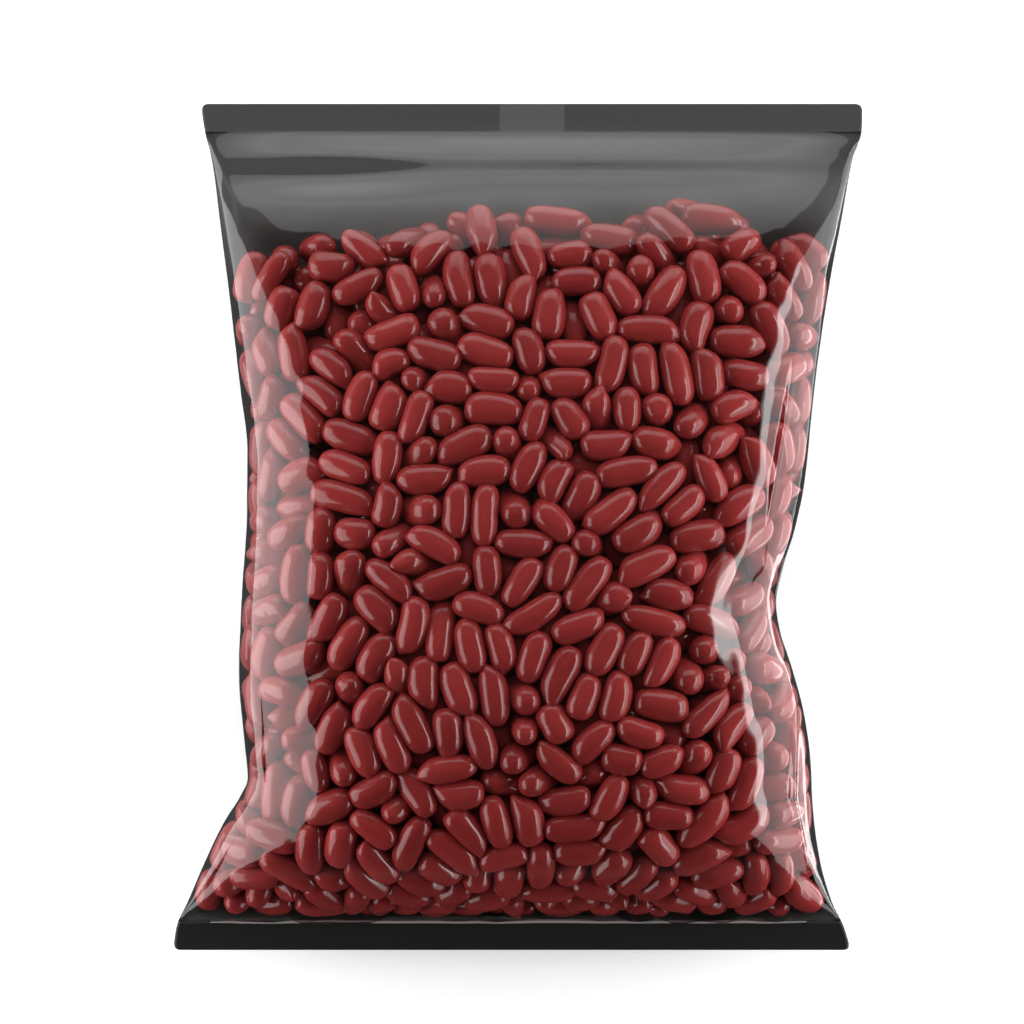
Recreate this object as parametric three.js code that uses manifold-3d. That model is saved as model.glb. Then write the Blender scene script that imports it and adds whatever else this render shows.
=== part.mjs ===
// A sealed pillow bag of dried red beans, lying on its back with its clear front up.
//
// The bag is one tube of film: heat-sealed flat at both ends, with a lap seam down the
// middle of its back. It is full to the bottom seal, and a little empty film is left under
// the top seal. The solid is the outside of the filled film, with the beans that press
// against the clear front standing out of it. +X is to the right of the front, +Y points to
// the top seal and +Z up, away from what the bag lies on. The origin is in the middle of the
// footprint, at the height of the surface below. Millimetres.
import * as THREE from "three";
import { mergeVertices } from "three/addons/utils/BufferGeometryUtils.js";
import Module from "manifold-3d";

// Driving sizes
const LENGTH = 231; // from the bottom edge to the top edge
const SEAL_BAND = 7.8; // each flat seal, along the length
const SEAL_THICKNESS = 0.8; // two layers of film pressed together
const BASE_DROP = 1.6; // how much of the underside the table presses flat
const CORNER_RADIUS = 1.8; // at the four corners of the seals
const LAP_WIDTH = 17.7; // the lap seam down the back
const LAP_X = 3.5; // the lap's middle line
const LAP_REACH = [-84, 70]; // where its steps show on the flat of the back
const LAP_GROOVE = { width: 0.7, depth: 0.5 }; // the step at each side of the lap
const LAP_PAD = 0.5; // the folded lap thickens the top seal by this much
const BEAN = { length: 14.6, radius: 4.2, bluntness: 0.66 }; // how much of it is a straight barrel
const BEAN_PROUD = 3.4; // how far a bean stands out of the film that sinks in around it
const BEAN_SPACING = 12.2; // between the middles of neighbouring beans
const BEAN_FREE_RIM = 10; // the steep sides of the front have no beans of their own
const LOWEST_BEAN = -98;

// Mesh fineness: columns across each sheet, rows along the bag and sides of a bean
const FRONT_COLUMNS = 18;
const BACK_COLUMNS = 14;
const BODY_ROW = 9.6;
const END_ROW = 2.2;
const END_ZONE = { bottom: 13, top: 19.8 }; // where the rows are this close
const BEAN_SIDES = 6;

const TOP = LENGTH / 2;
const BOTTOM = -TOP;
const TOP_SEAL = TOP - SEAL_BAND;
const BOTTOM_SEAL = BOTTOM + SEAL_BAND;

// The bag's two side edges as [y, x]. Both flare out to the flat seals, and each is pinched
// where the film buckles: the right one just below the middle, the left one lower down.
const LEFT_EDGE = [
  [BOTTOM, -94.2], [-109, -93.2], [-102, -90], [-91, -85.2], [-80, -79.8], [-73, -75.4],
  [-68, -73.3], [-58, -74.2], [-40, -75.6], [-18, -74.8], [5, -73.5], [20, -73.5],
  [36, -75.4], [60, -78.4], [85, -81.8], [100, -84], [108, -86], [TOP, -87.2],
];
const RIGHT_EDGE = [
  [BOTTOM, 90.2], [-109, 88.2], [-102, 84.8], [-90, 81.3], [-75, 79.1], [-62, 78.4],
  [-50, 76.6], [-38, 73.4], [-28, 70.2], [-20, 69.1], [-12, 70.6], [-2, 74],
  [12, 77], [36, 79.6], [60, 83.2], [85, 88], [100, 91], [108, 93.6], [TOP, 94],
];

// Heights above the table as [y, z], along the middle of the bag: its front, its side seam,
// and how far the back would reach if the table didn't press it flat.
const FRONT_HEIGHT = [
  [BOTTOM, 17.4], [BOTTOM_SEAL, 18.4], [-104, 30.5], [-99, 39.5], [-90, 48.5], [-74, 55],
  [-48, 58], [-15, 57.4], [20, 53.6], [50, 48], [70, 42], [84, 35], [95, 26.2],
  [103, 18.6], [TOP_SEAL, 13.4], [TOP, 11.4],
];
const SEAM_HEIGHT = [
  [BOTTOM, 17], [BOTTOM_SEAL, 18], [-95, 20], [-60, 23.5], [-15, 23.5], [35, 21], [70, 17.5],
  [95, 14.2], [TOP_SEAL, 13], [TOP, 11],
];
const BACK_HEIGHT = [
  [BOTTOM, 16.6], [BOTTOM_SEAL, 17.6], [-103, 8.5], [-97, 3], [-88, -BASE_DROP],
  [-60, -BASE_DROP], [0, -BASE_DROP], [50, -BASE_DROP], [66, -BASE_DROP], [73, 1],
  [79, 6.5], [84, 10.4], [90, 12], [98, 12.6], [TOP_SEAL, 12.6], [TOP, 10.6],
];
// Where the heap of beans ends under the top seal, as [x, y]
const FILL_LINE = [
  [-95, 68], [-72, 74], [-60, 77], [-51, 81], [-32, 79.5], [-19, 85], [5, 88.5], [26, 80.5],
  [37, 89.5], [49, 88.5], [60, 84.5], [71, 82], [82, 76], [95, 70],
];
const BODY_SQUARENESS = 2.7; // the superellipse power of a full cross-section
const SEAL_SQUARENESS = 2.1;
const SQUARE_FROM = 30; // distance from a seal over which a section becomes square

const WAVE_FADE = 4; // the waves of the film die out over this distance from the top seal

// Soft waves of the film, by the place and size of each
const WAVES = [
  { x: -54, y: 94.4, along: 26, across: 4.4, height: -2.7 }, // the trough by the top left
  { x: -54, y: 102.6, along: 26, across: 4.4, height: 1.7 }, // and its upper lip
  { x: 20, y: 95.6, along: 60, across: 2.6, height: -0.85 },
  { x: 20, y: 99.6, along: 60, across: 2.6, height: 0.85 },
  { x: -8, y: 20, along: 40, across: 30, height: 0.9 },
  { x: 30, y: -45, along: 30, across: 28, height: 0.8 },
  { x: -38, y: -35, along: 26, across: 34, height: 0.7 },
  { x: 62, y: -18, along: 9, across: 20, height: -2.2 }, // the buckle at the right
  { x: -66, y: -70, along: 9, across: 12, height: -1.8 }, // and the one at the left
];

// A smooth curve through [position, value] pairs, by cubic pieces whose slope never
// overshoots, so that flat stretches stay flat.
function smoothThrough(points) {
  const chord = points.slice(1).map((p, i) => (p[1] - points[i][1]) / (p[0] - points[i][0]));
  const slope = points.map((_, i) => {
    if (i === 0) return chord[0];
    if (i === points.length - 1) return chord[i - 1];
    const [before, after] = [chord[i - 1], chord[i]];
    return before * after <= 0 ? 0 : (2 * before * after) / (before + after);
  });
  return (position) => {
    const last = points.length - 2;
    let i = points.findIndex((p) => position < p[0]) - 1;
    if (i < 0) i = position < points[0][0] ? 0 : last;
    const width = points[i + 1][0] - points[i][0];
    const t = THREE.MathUtils.clamp((position - points[i][0]) / width, 0, 1);
    const [a, b] = [points[i][1], points[i + 1][1]];
    const rise = t * t * (3 - 2 * t);
    const leave = t * (1 - t) * (1 - t) * width * slope[i];
    const arrive = t * t * (1 - t) * width * slope[i + 1];
    return a + (b - a) * rise + leave - arrive;
  };
}

const leftEdge = smoothThrough(LEFT_EDGE);
const rightEdge = smoothThrough(RIGHT_EDGE);
const frontHeight = smoothThrough(FRONT_HEIGHT);
const seamHeight = smoothThrough(SEAM_HEIGHT);
const backHeight = smoothThrough(BACK_HEIGHT);
const fillLine = smoothThrough(FILL_LINE);

// How far the rounded corners of a seal draw its side edge in.
function cornerInset(y) {
  const intoCorner = CORNER_RADIUS - (TOP - Math.abs(y));
  if (intoCorner <= 0) return 0;
  return CORNER_RADIUS - Math.sqrt(CORNER_RADIUS ** 2 - intoCorner ** 2);
}

function squareness(y) {
  const inside = Math.min(TOP_SEAL - y, y - BOTTOM_SEAL) / SQUARE_FROM;
  const share = THREE.MathUtils.smoothstep(inside, 0, 1);
  return THREE.MathUtils.lerp(SEAL_SQUARENESS, BODY_SQUARENESS, share);
}

// Half of a superellipse of these two radii, as points evenly spaced along it from the
// left (-width, 0) over the top to the right (width, 0).
function archPoints(width, height, power, columns) {
  const fine = 400;
  const dense = Array.from({ length: fine + 1 }, (_, i) => {
    const angle = Math.PI * (1 - i / fine);
    const [c, s] = [Math.cos(angle), Math.sin(angle)];
    return new THREE.Vector2(
      Math.sign(c) * width * Math.abs(c) ** (2 / power),
      height * Math.max(s, 0) ** (2 / power),
    );
  });
  const path = [0];
  dense.slice(1).forEach((p, i) => path.push(path[i] + p.distanceTo(dense[i])));
  let at = 0;
  return Array.from({ length: columns + 1 }, (_, k) => {
    const wanted = (path[fine] * k) / columns;
    while (at < fine - 1 && path[at + 1] < wanted) at += 1;
    const share = (wanted - path[at]) / (path[at + 1] - path[at]);
    return dense[at].clone().lerp(dense[at + 1], THREE.MathUtils.clamp(share, 0, 1));
  });
}

function waveHeight(x, y) {
  const height = WAVES.reduce((sum, w) => {
    const reach = ((x - w.x) / w.along) ** 2 + ((y - w.y) / w.across) ** 2;
    return sum + w.height * Math.exp(-reach);
  }, 0);
  return height * THREE.MathUtils.smoothstep((TOP_SEAL - y) / WAVE_FADE, 0, 1);
}

// How far a place is inside the region of the front that beans fill, from 0 at its border
// to 1 from one bean's length inwards.
function filled(x, y) {
  const inside = Math.min(
    x - leftEdge(y) - BEAN_FREE_RIM / 2, rightEdge(y) - BEAN_FREE_RIM / 2 - x,
    fillLine(x) - y, y - LOWEST_BEAN + BEAN.radius,
  );
  return THREE.MathUtils.smoothstep(inside, 0, BEAN.length / 2);
}

// The cross-section at y: the middle and half width, and one sheet's seam and reach.
function section(y, isFront) {
  const inset = cornerInset(y);
  const [left, right] = [leftEdge(y) + inset, rightEdge(y) - inset];
  const seam = seamHeight(y) + (isFront ? 0.5 : -0.5) * SEAL_THICKNESS;
  const reach = (isFront ? frontHeight(y) : backHeight(y)) - seam;
  return { middle: (left + right) / 2, halfWidth: (right - left) / 2, seam, reach };
}

// One row of a sheet at y: points from its left edge to its right edge. The front sinks in
// among the beans.
function sheetRow(y, isFront) {
  const { middle, halfWidth, seam, reach } = section(y, isFront);
  const columns = isFront ? FRONT_COLUMNS : BACK_COLUMNS;
  return archPoints(halfWidth, Math.abs(reach), squareness(y), columns).map((p) => {
    const x = middle + p.x;
    const share = Math.abs(reach) > 0.1 ? p.y / Math.abs(reach) : 0;
    const wave = isFront ? waveHeight(x, y) * share - BEAN_PROUD * filled(x, y) : 0;
    return new THREE.Vector3(x, y, seam + Math.sign(reach) * p.y + wave);
  });
}

// The height of the film over the beans at a place of the front.
function frontSurface(x, y) {
  const { middle, halfWidth, seam, reach } = section(y, true);
  const power = squareness(y);
  const across = Math.min(Math.abs(x - middle) / halfWidth, 1);
  const share = (1 - across ** power) ** (1 / power);
  return seam + (reach + waveHeight(x, y)) * share;
}

// The rows' places along the bag, closer together towards the seals.
function rowPlaces() {
  const places = [BOTTOM, BOTTOM + CORNER_RADIUS / 3, BOTTOM + CORNER_RADIUS, BOTTOM_SEAL];
  const step = (from, to, size) => {
    const count = Math.round((to - from) / size);
    for (let i = 1; i <= count; i += 1) places.push(from + ((to - from) * i) / count);
  };
  step(BOTTOM_SEAL, BOTTOM_SEAL + END_ZONE.bottom, END_ROW);
  step(BOTTOM_SEAL + END_ZONE.bottom, TOP_SEAL - END_ZONE.top, BODY_ROW);
  step(TOP_SEAL - END_ZONE.top, TOP_SEAL, END_ROW);
  return [...places, TOP - CORNER_RADIUS, TOP - CORNER_RADIUS / 3, TOP];
}

// The closed skin: a front sheet, a back sheet and the narrow strip that joins their rims.
function bagGeometry() {
  const rows = rowPlaces().map((y) => ({ front: sheetRow(y, true), back: sheetRow(y, false) }));
  const triangles = [];
  const quad = (a, b, c, d) => triangles.push(a, b, c, a, c, d);
  for (let j = 0; j + 1 < rows.length; j += 1) {
    const [here, next] = [rows[j], rows[j + 1]];
    for (let k = 0; k < FRONT_COLUMNS; k += 1)
      quad(here.front[k], here.front[k + 1], next.front[k + 1], next.front[k]);
    for (let k = 0; k < BACK_COLUMNS; k += 1)
      quad(here.back[k + 1], here.back[k], next.back[k], next.back[k + 1]);
    quad(here.back[0], here.front[0], next.front[0], next.back[0]);
    quad(here.front.at(-1), here.back.at(-1), next.back.at(-1), next.front.at(-1));
  }
  endStrip(rows.at(0), triangles, false);
  endStrip(rows.at(-1), triangles, true);
  return new THREE.BufferGeometry().setFromPoints(triangles);
}

// Closes one end of the skin by zipping its front rim to its back rim, whose numbers of
// points differ.
function endStrip({ front, back }, triangles, isTop) {
  const add = (a, b, c) => (isTop ? triangles.push(a, b, c) : triangles.push(a, c, b));
  let [f, b] = [0, 0];
  while (f < FRONT_COLUMNS || b < BACK_COLUMNS) {
    const frontNext = (f + 1) / FRONT_COLUMNS <= (b + 1) / BACK_COLUMNS + 1e-9;
    if (f < FRONT_COLUMNS && (frontNext || b === BACK_COLUMNS)) {
      add(front[f], front[f + 1], back[b]);
      f += 1;
    } else {
      add(back[b + 1], back[b], front[f]);
      b += 1;
    }
  }
}

const wasm = await Module();
wasm.setup();

// A closed BufferGeometry as a manifold-3d solid, and back.
function solidOf(geometry) {
  const bare = geometry.clone();
  bare.deleteAttribute("normal");
  bare.deleteAttribute("uv");
  const merged = mergeVertices(bare, 1e-4);
  const count = merged.attributes.position.count;
  const inOrder = Uint32Array.from({ length: count }, (_, i) => i);
  const triVerts = merged.index ? merged.index.array : inOrder;
  return new wasm.Manifold(new wasm.Mesh({
    numProp: 3,
    vertProperties: merged.attributes.position.array,
    triVerts: new Uint32Array(triVerts),
  }));
}

function geometryOf(solid) {
  const mesh = solid.getMesh();
  const geometry = new THREE.BufferGeometry();
  const places = new THREE.BufferAttribute(new Float32Array(mesh.vertProperties), 3);
  geometry.setAttribute("position", places);
  geometry.setIndex(new THREE.BufferAttribute(new Uint32Array(mesh.triVerts), 1));
  geometry.computeVertexNormals();
  return geometry;
}

function block(size, centre) {
  return solidOf(new THREE.BoxGeometry(...size).translate(...centre));
}

// A repeatable source of numbers between 0 and 1.
function repeatableRandom(seed) {
  let state = seed;
  return () => {
    state = (Math.imul(state, 1664525) + 1013904223) >>> 0;
    return state / 4294967296;
  };
}

// Places and directions of the beans on the front, first in staggered rows and then pushed
// apart. For this each bean is three circles in a line.
function beanPlaces() {
  const random = repeatableRandom(11);
  const beans = [];
  const rowStep = BEAN_SPACING * 0.87;
  let shift = 0;
  for (let y = LOWEST_BEAN; y < TOP_SEAL; y += rowStep) {
    shift = BEAN_SPACING / 2 - shift;
    const [from, to] = [leftEdge(y) + BEAN_FREE_RIM + shift, rightEdge(y) - BEAN_FREE_RIM];
    for (let x = from; x < to; x += BEAN_SPACING)
      if (y < fillLine(x) - BEAN.radius)
        beans.push({
          x, y, size: 0.88 + 0.22 * random(),
          angle: random() * Math.PI, roll: random() * Math.PI,
        });
  }
  const offsets = [-1, 0, 1].map((side) => side * (BEAN.length / 2 - BEAN.radius));
  const spot = (bean, i) => [
    bean.x + offsets[i] * bean.size * Math.cos(bean.angle),
    bean.y + offsets[i] * bean.size * Math.sin(bean.angle),
  ];
  for (let turn = 0; turn < 60; turn += 1) {
    beans.forEach((a, i) => beans.slice(i + 1).forEach((b) => {
      if (Math.hypot(a.x - b.x, a.y - b.y) > BEAN.length * 1.2) return;
      for (let p = 0; p < 3; p += 1)
        for (let q = 0; q < 3; q += 1) pushApart(a, b, spot(a, p), spot(b, q));
    }));
    beans.forEach((bean) => {
      const [left, right] = [leftEdge(bean.y) + BEAN_FREE_RIM, rightEdge(bean.y) - BEAN_FREE_RIM];
      bean.x = THREE.MathUtils.clamp(bean.x, left, right);
      bean.y = THREE.MathUtils.clamp(bean.y, LOWEST_BEAN, fillLine(bean.x) - BEAN.radius);
    });
  }
  return beans;
}

// Moves and turns two beans so that one circle of each overlaps less.
function pushApart(a, b, [ax, ay], [bx, by]) {
  const distance = Math.max(Math.hypot(ax - bx, ay - by), 0.01);
  const overlap = BEAN.radius * (a.size + b.size) - distance;
  if (overlap <= 0) return;
  const move = (0.25 * overlap) / distance;
  const [ux, uy] = [(ax - bx) * move, (ay - by) * move];
  [[a, ax, ay, 1], [b, bx, by, -1]].forEach(([bean, px, py, way]) => {
    const twist = (px - bean.x) * uy - (py - bean.y) * ux;
    bean.angle += (way * twist) / (BEAN.length ** 2 / 3);
    bean.x += way * ux;
    bean.y += way * uy;
  });
}

// One bean of few sides, sunk so far that its outer side just reaches the film's surface.
function makeBean({ x, y, angle, roll, size }) {
  const [half, radius] = [(BEAN.length / 2) * size, BEAN.radius * size];
  const shoulder = half * BEAN.bluntness;
  const outline = [[0, -half], [radius, -shoulder], [radius, shoulder], [0, half]];
  const profile = outline.map(([r, along]) => new THREE.Vector2(r, along));
  const step = 0.5;
  const height = frontSurface(x, y);
  const slopeX = (frontSurface(x + step, y) - frontSurface(x - step, y)) / (2 * step);
  const slopeY = (frontSurface(x, y + step) - frontSurface(x, y - step)) / (2 * step);
  const normal = new THREE.Vector3(-slopeX, -slopeY, 1).normalize();
  const heading = new THREE.Vector3(Math.cos(angle), Math.sin(angle), 0);
  const axis = heading.projectOnPlane(normal).normalize();
  const side = new THREE.Vector3().crossVectors(axis, normal);
  const centre = new THREE.Vector3(x, y, height).addScaledVector(normal, -radius);
  const bean = new THREE.LatheGeometry(profile, BEAN_SIDES).rotateY(roll);
  bean.applyMatrix4(new THREE.Matrix4().makeBasis(normal, axis, side.negate()).setPosition(centre));
  return solidOf(bean);
}

// The lap seam: a step line at each side along the flat of the back, and at the top seal
// the folded lap, which makes the band thicker there.
function addLap(bag) {
  const [from, to] = LAP_REACH;
  const groove = (side) => block(
    [LAP_GROOVE.width, to - from, 2 * LAP_GROOVE.depth],
    [LAP_X + (side * LAP_WIDTH) / 2, (from + to) / 2, 0],
  );
  const pad = block(
    [LAP_WIDTH, SEAL_BAND - 1, LAP_PAD + SEAL_THICKNESS],
    [LAP_X, TOP - SEAL_BAND / 2, seamHeight(TOP) - LAP_PAD / 2],
  );
  return bag.subtract(groove(-1)).subtract(groove(1)).add(pad);
}

// The filled film with its beans, cut flat where the table presses on it.
function makeBag() {
  const table = block([LENGTH, 2 * LENGTH, 10], [0, 0, -5]);
  const film = solidOf(bagGeometry());
  const filledFilm = beanPlaces().reduce((all, bean) => all.add(makeBean(bean)), film);
  const solid = addLap(filledFilm.subtract(table));
  const material = new THREE.MeshStandardMaterial({ color: 0x8a2b2b, roughness: 0.25 });
  const mesh = new THREE.Mesh(geometryOf(solid), material);
  mesh.name = "bag";
  return mesh;
}

const part = new THREE.Group();
part.add(makeBag());

export default part;
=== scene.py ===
# A sealed pillow bag of dried red beans, on its back on a pale floor, seen from above.
#
# The clear front film, the smoke dark back film and the seals are one closed skin of the
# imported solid's own form. The beans are packed inside it by a small simulation, which
# pushes overlapping beans apart inside the bag until they rest against each other.
import math

import bpy
import numpy as np
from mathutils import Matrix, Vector
from mathutils.bvhtree import BVHTree
from mathutils.kdtree import KDTree


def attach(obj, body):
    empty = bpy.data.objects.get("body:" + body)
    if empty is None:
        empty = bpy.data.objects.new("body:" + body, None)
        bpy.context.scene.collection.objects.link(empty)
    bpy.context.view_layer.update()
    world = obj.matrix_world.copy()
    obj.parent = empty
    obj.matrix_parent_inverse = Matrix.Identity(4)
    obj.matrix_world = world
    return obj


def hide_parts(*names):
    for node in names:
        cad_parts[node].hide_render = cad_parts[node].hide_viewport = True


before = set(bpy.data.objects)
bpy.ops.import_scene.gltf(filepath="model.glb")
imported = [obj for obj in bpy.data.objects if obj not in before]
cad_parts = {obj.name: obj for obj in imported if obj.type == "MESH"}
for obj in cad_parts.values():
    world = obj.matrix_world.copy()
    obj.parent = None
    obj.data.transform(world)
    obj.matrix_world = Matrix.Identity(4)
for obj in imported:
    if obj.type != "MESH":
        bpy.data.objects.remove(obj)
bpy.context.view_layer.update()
MM = 0.001

# Sizes of the bag in millimetres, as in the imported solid
LENGTH = 231.0
SEAL_BAND = 7.8
SEAL_THICKNESS = 0.8
BASE_DROP = 1.6
CORNER_RADIUS = 1.8
LAP_WIDTH = 17.7
TOP = LENGTH / 2
BOTTOM = -TOP
TOP_SEAL = TOP - SEAL_BAND
BOTTOM_SEAL = BOTTOM + SEAL_BAND

# The two side edges as (y, x), and heights along the middle as (y, z)
LEFT_EDGE = [
    (BOTTOM, -94.2), (-109, -93.2), (-102, -90), (-91, -85.2), (-80, -79.8), (-73, -75.4),
    (-68, -73.3), (-58, -74.2), (-40, -75.6), (-18, -74.8), (5, -73.5), (20, -73.5),
    (36, -75.4), (60, -78.4), (85, -81.8), (100, -84), (108, -86), (TOP, -87.2),
]
RIGHT_EDGE = [
    (BOTTOM, 90.2), (-109, 88.2), (-102, 84.8), (-90, 81.3), (-75, 79.1), (-62, 78.4),
    (-50, 76.6), (-38, 73.4), (-28, 70.2), (-20, 69.1), (-12, 70.6), (-2, 74),
    (12, 77), (36, 79.6), (60, 83.2), (85, 88), (100, 91), (108, 93.6), (TOP, 94),
]
FRONT_HEIGHT = [
    (BOTTOM, 17.4), (BOTTOM_SEAL, 18.4), (-104, 30.5), (-99, 39.5), (-90, 48.5), (-74, 55),
    (-48, 58), (-15, 57.4), (20, 53.6), (50, 48), (70, 42), (84, 35), (95, 26.2),
    (103, 18.6), (TOP_SEAL, 13.4), (TOP, 11.4),
]
SEAM_HEIGHT = [
    (BOTTOM, 17), (BOTTOM_SEAL, 18), (-95, 20), (-60, 23.5), (-15, 23.5), (35, 21),
    (70, 17.5), (95, 14.2), (TOP_SEAL, 13), (TOP, 11),
]
BACK_HEIGHT = [
    (BOTTOM, 16.6), (BOTTOM_SEAL, 17.6), (-103, 8.5), (-97, 3), (-88, -BASE_DROP),
    (-60, -BASE_DROP), (0, -BASE_DROP), (50, -BASE_DROP), (66, -BASE_DROP), (73, 1),
    (79, 6.5), (84, 10.4), (90, 12), (98, 12.6), (TOP_SEAL, 12.6), (TOP, 10.6),
]
BODY_SQUARENESS = 2.7
SEAL_SQUARENESS = 2.1
SQUARE_FROM = 30.0
WAVE_FADE = 4.0
ARCH_SAMPLES = 600
FLAT_SHEET = 0.1
BAND_ROWS = 5
CORNER_ROWS = (0, 0.12, 0.4, 1)

# Soft waves of the film as (x, y, along, across, height)
WAVES = [
    (-54, 94.4, 26, 4.4, -2.7), (-54, 102.6, 26, 4.4, 1.7), (20, 95.6, 60, 2.6, -0.85),
    (20, 99.6, 60, 2.6, 0.85), (-8, 20, 40, 30, 0.9), (30, -45, 30, 28, 0.8),
    (-38, -35, 26, 34, 0.7), (62, -18, 9, 20, -2.2), (-66, -70, 9, 12, -1.8),
]

# Beans, in millimetres. A spread is that of a normal draw, and a pair is a range.
SEED = 7
BEAN_COUNT = 1420
BEAN_LENGTH = 14.6
BEAN_RADIUS = 4.2
HALF_LENGTH_SPREAD = 0.72
RADIUS_SPREAD = 0.24
HALF_LENGTHS = (5.0, 8.9)
RADII = (3.4, 4.6)
GIRTH_POWER = (2.3, 3.0)
TAPER_SPREAD = 0.05
BEND = (0, 0.8)
FLATNESS = (0.92, 1.0)
BEAKED_SHARE = 0.6
SLANT = (0.0, 0.35)
BEAK = (0.7, 1.6)
PLAIN_END = 0.1
BEAK_TURN = (0.05, 0.5)
BEAK_WIDTH = 0.27
BEAK_ROUND = 5.2
BEAK_OUT = 0.9
BEAK_UP = 0.35
FACING_SPREAD = 0.45

# Lumps in a bean's girth as (size, times round, twist along the bean)
LUMPS = [(0.022, 2, 1.5), (0.018, 3, -2), (0.015, 1, 4)]

# Packing: the grid of depths inside the film, and the beans' start. Most of those near the
# film start out lying along it.
DEPTH_STEP = 2.0
DEPTH_ROW = 4.0
DEPTH_COLUMNS = (48, 24)
START_DEPTH = 3.5
UNDER_FILL_LINE = 3
LYING_DEPTH = 9
LYING_SHARE = 0.8
LYING_TURN = 0.9
LOWEST_BEAN = -106.0
FILM_GAP = 0.15
FILM_CLEAR = 0.12
FILM_CLEAR_MARGIN = 0.1
BACK_IN_MOST = 3

# Packing: the turns. The beans start at a share of their size and are full-grown after a
# share of the turns. Ever more weakly, they settle towards the bottom seal and, near the
# film, against it.
TURNS = 180
FIRST_SIZE, GROWTH, GROWN_AT = 0.72, 0.28, 0.55
PAIRS_EVERY = 5
PAIR_MARGIN = 1.2
PUSH_SHARED = 0.55
TURN_SHARE = 0.9
SETTLE = 0.06
SETTLE_ALONG = 0.3
SETTLE_OUT = 2
PRESSED_DEPTH = 12
UNDERSIDE = -0.5

# Which beans make up the pieces, by depth, the rings and sides of a bean in each, and how
# far apart the beans lie in the skin's noise
AT_FILM_DEPTH = 8.0
SHOWN_DEPTH = 15.0
NEAR_DETAIL = (15, 16)
BEHIND_DETAIL = (10, 12)
INSIDE_DETAIL = (6, 8)
NOISE_APART = 400

# The film's own values, in millimetres
FILM_ROW = 1.0
FRONT_COLUMNS = 208
BACK_COLUMNS = 104
SINK_SHARE = 0.14
SINK_REACH = 3.0
SINK_BLUR = 6
FOLD_FADE = 6
FOLD_ENDS = 0.8
RIM_HOLD = 0.25
PRESS_REACH = 4.0
PRESS_FADE = 3
PRESS_SPREAD, PRESS_BLUR = 2, 3
LAP_SHEET = 0.4
BEAN_OVER_LAP = 0.2
LAP_X = 3.5
LAP_COLUMNS = 8
LAP_BLUR = 0.15
BEAD_RADIUS = 0.4
BEAD_ENDS = (-84.0, 78.0)
BEAD_POINTS = 140
BEAD_SIDES = 8
BEAD_KNOTS = 30
BEAD_WOBBLE = 0.12

# Folds of the clear film as (line of (x, y), height, width). The three across the bag, at
# y 92 to 107, shape the dark lens under the top seal, and keep the seal's image off the film.
CREASES = [
    ([(83, 77), (80.5, 53), (76.4, 23), (72, -1), (67.5, -25)], 1.1, 0.9),
    ([(75, 53), (70.5, 28), (68, 15), (64.7, -9)], 0.8, 0.8),
    ([(70.5, -34), (73, -47), (72.3, -72), (76, -88), (80, -96)], 1.0, 0.9),
    ([(62, 10), (58.5, -18), (61, -46)], 0.7, 3.8),
    ([(-86, 92.7), (-56, 92.7), (-24, 94)], -0.5, 3.4),
    ([(-88, 104), (-54, 104), (-16, 104)], -0.85, 2.3),
    ([(-88, 106.8), (-54, 106.8), (-16, 106.8)], 2.1, 1.2),
    ([(-84.5, 107), (-81.5, 100), (-79.6, 96), (-77.8, 91), (-74.5, 80)], 0.9, 2.0),
]

# Colours as linear light. The dark film's colours lie along the bag, by shares of its length:
# its own near black, a paler band of painted light from the bottom seal's edge, and a paler
# painted sheen over the upper film and the top seal, for the light the film catches there.
BEAN_DARK = (0.112, 0.008, 0.008)
BEAN_LIGHT = (0.28, 0.028, 0.027)
DARK_FILM = (0.014, 0.014, 0.0135)
# Painted light: the paler low band, the paler upper film and the top seal's paler sheen.
DARK_FILM_LOW_PAINTED_LIGHT = (0.06, 0.064, 0.062)
DARK_FILM_TOP_PAINTED_SHEEN = (0.062, 0.062, 0.062)
TOP_SEAL_PAINTED_SHEEN = (0.04, 0.04, 0.04)
LAP_PALER = 1.6
TONE_STEP = 0.001
LOW_BAND_TO, LOW_BAND_GONE_AT, TOP_SHEEN_FROM = 0.04, 0.08, 0.72
# A painted highlight: the pale grey of the bead along the bottom seal's inner edge.
BEAD_HIGHLIGHT_GREY = (0.3, 0.28, 0.27)
FLOOR_GREY = (0.93, 0.93, 0.93)
CARD_BLACK = (0.01, 0.01, 0.01)

# Finish of the surfaces. The film mirrors on both of its faces, up to a limit, and darkens
# what is behind it where it is seen edge-on.
BEAN_ROUGHNESS = 0.13
BEAN_SPECULAR = 0.85
BEAN_BUMP = 0.04
BEAN_BUMP_DEPTH = 0.0004
STREAK_STRETCH = (0.22, 1, 1)
STREAK_SCALE = 0.9
STREAK_DETAIL = 3
MOTTLE_SCALE = 0.16
TONE_SHARE = 0.45
MOTTLE_SHARE = 0.3
FILM_ROUGHNESS = 0.05
FILM_MIRROR = 1.9
FILM_MIRROR_LIMIT = 0.16
FILM_IOR = 1.5
FILM_PASSES = (0.97, 0.97, 0.97)
FILM_PASSES_EDGE_ON = (0.12, 0.12, 0.12)
EDGE_ON_FROM = 0.72
DARK_ROUGHNESS = 0.38
DARK_SPECULAR = 0.4
BEAD_ROUGHNESS = 0.3

# Studio: the photograph's view and the lights
LENS = 120.0
SENSOR = 36.0
VIEW_WIDTH = 278.8
SEAL_LEVEL = 17.0
CAMERA_X = -2.0
CAMERA_Y = 3.7
LEFT_LIGHT = 6.6
RIGHT_LIGHT = 5.0
STRIP_LIGHT = 13.0
LOW_LIGHT = 20.0
TOP_LIGHT = 2.6
FILL_LIGHT = 5.8
STRAIGHT_LIGHT = 10.0
LIGHT_AIM = (0, 0, 0.03)
CARD_EDGE = -128
CARD_REACH = 1200
CARD_END = -1500
CARD_LEVEL = 1
FLOOR_GLOW = 0.3
FLOOR_REACH = 800
BACKDROP = (0.98, 0.98, 0.98)

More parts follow.
